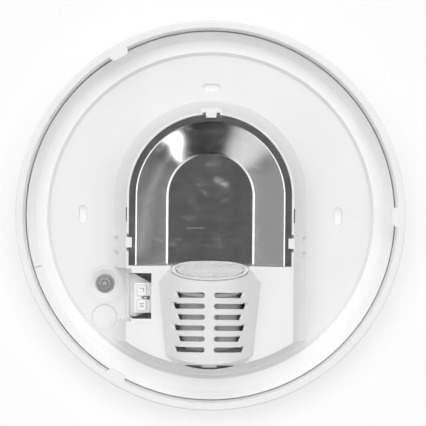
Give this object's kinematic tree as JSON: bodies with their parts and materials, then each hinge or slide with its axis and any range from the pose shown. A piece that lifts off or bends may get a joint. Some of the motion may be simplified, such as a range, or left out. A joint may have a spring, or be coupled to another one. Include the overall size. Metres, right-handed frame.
{
  "type": "ceiling detector and lamp base",
  "caption": "Round surface-mount base with a turning bayonet ring, a raised electronics housing, a polished heat shield and a vented hood over a capped, inclined lamp socket.",
  "frame": {"origin": "centre of the mounting face, in the plane of the back", "axes": "+Z out of the front, away from the ceiling or wall; +Y from the socket towards the round end of the arch-shaped shield"},
  "size_m": [0.275, 0.275, 0.0659],
  "materials": {
    "base_white": "satin white moulding",
    "ring_white": "satin white moulding",
    "seal_white": "soft white gasket",
    "housing_white": "fine matt white moulding",
    "shield_metal": "pressed and polished sheet with light handling marks",
    "socket_white": "unglazed white",
    "collar_white": "satin light grey moulding",
    "cap_grey": "mottled light grey",
    "brass_parts": "pressed, plain",
    "grommet_grey": "matt grey membrane",
    "terminal_white": "matt white",
    "button_white": "satin white with a raised letter",
    "plated_steel": "bright plated",
    "board_green": "solder mask",
    "part_blue": "moulded case",
    "part_yellow": "moulded case",
    "part_brown": "moulded case",
    "wire_brown": "smooth insulation",
    "wire_blue": "smooth insulation",
    "wire_black": "smooth insulation"
  },
  "bodies": {
    "base": {"base_plate": "base_white", "cover_seal": "seal_white", "upper_housing": "housing_white", "vent_hood": "housing_white", "heat_shield": "shield_metal", "socket_body": "socket_white", "socket_sleeve": "brass_parts", "socket_side_contact": "brass_parts", "socket_collar": "collar_white", "cable_grommet": "grommet_grey", "terminal_block": "terminal_white", "terminal_clamps": "plated_steel", "terminal_springs": "plated_steel", "control_board": "board_green", "sensor_module": "plated_steel", "relay": "part_blue", "mains_capacitor": "part_yellow", "fuse": "part_brown", "board_screws": "plated_steel", "housing_screws": "plated_steel", "socket_bracket": "plated_steel", "bracket_screws": "plated_steel", "supply_wire_live": "wire_brown", "supply_wire_neutral": "wire_blue", "lamp_wire_live": "wire_black", "lamp_wire_neutral": "wire_blue"},
    "ring": {"bayonet_ring": "ring_white"},
    "cap": {"socket_cap": "cap_grey"},
    "live_button": {"terminal_button_live": "button_white"},
    "neutral_button": {"terminal_button_neutral": "button_white"},
    "centre_contact": {"socket_centre_contact": "brass_parts"}
  },
  "joints": [
    {"name": "ring_turn", "type": "hinge", "parent": "base", "child": "ring", "pos_m": [0, 0, 0.0035], "axis": [0, 0, 1], "range_deg": [0, 15]},
    {"name": "cap_pull", "type": "slide", "parent": "base", "child": "cap", "axis": [0, 0.9781, 0.2079], "range_m": [0, 0.21]},
    {"name": "live_press", "type": "slide", "parent": "base", "child": "live_button", "axis": [0, 0, -1], "range_m": [0, 0.0012], "stiffness_N_per_m": 2500, "springref_m": -0.0004},
    {"name": "neutral_press", "type": "slide", "parent": "base", "child": "neutral_button", "axis": [0, 0, -1], "range_m": [0, 0.0012], "stiffness_N_per_m": 2500, "springref_m": -0.0004},
    {"name": "contact_press", "type": "slide", "parent": "base", "child": "centre_contact", "axis": [0, -0.9781, -0.2079], "range_m": [0, 0.0015], "stiffness_N_per_m": 1500, "springref_m": -0.0005}
  ]
}
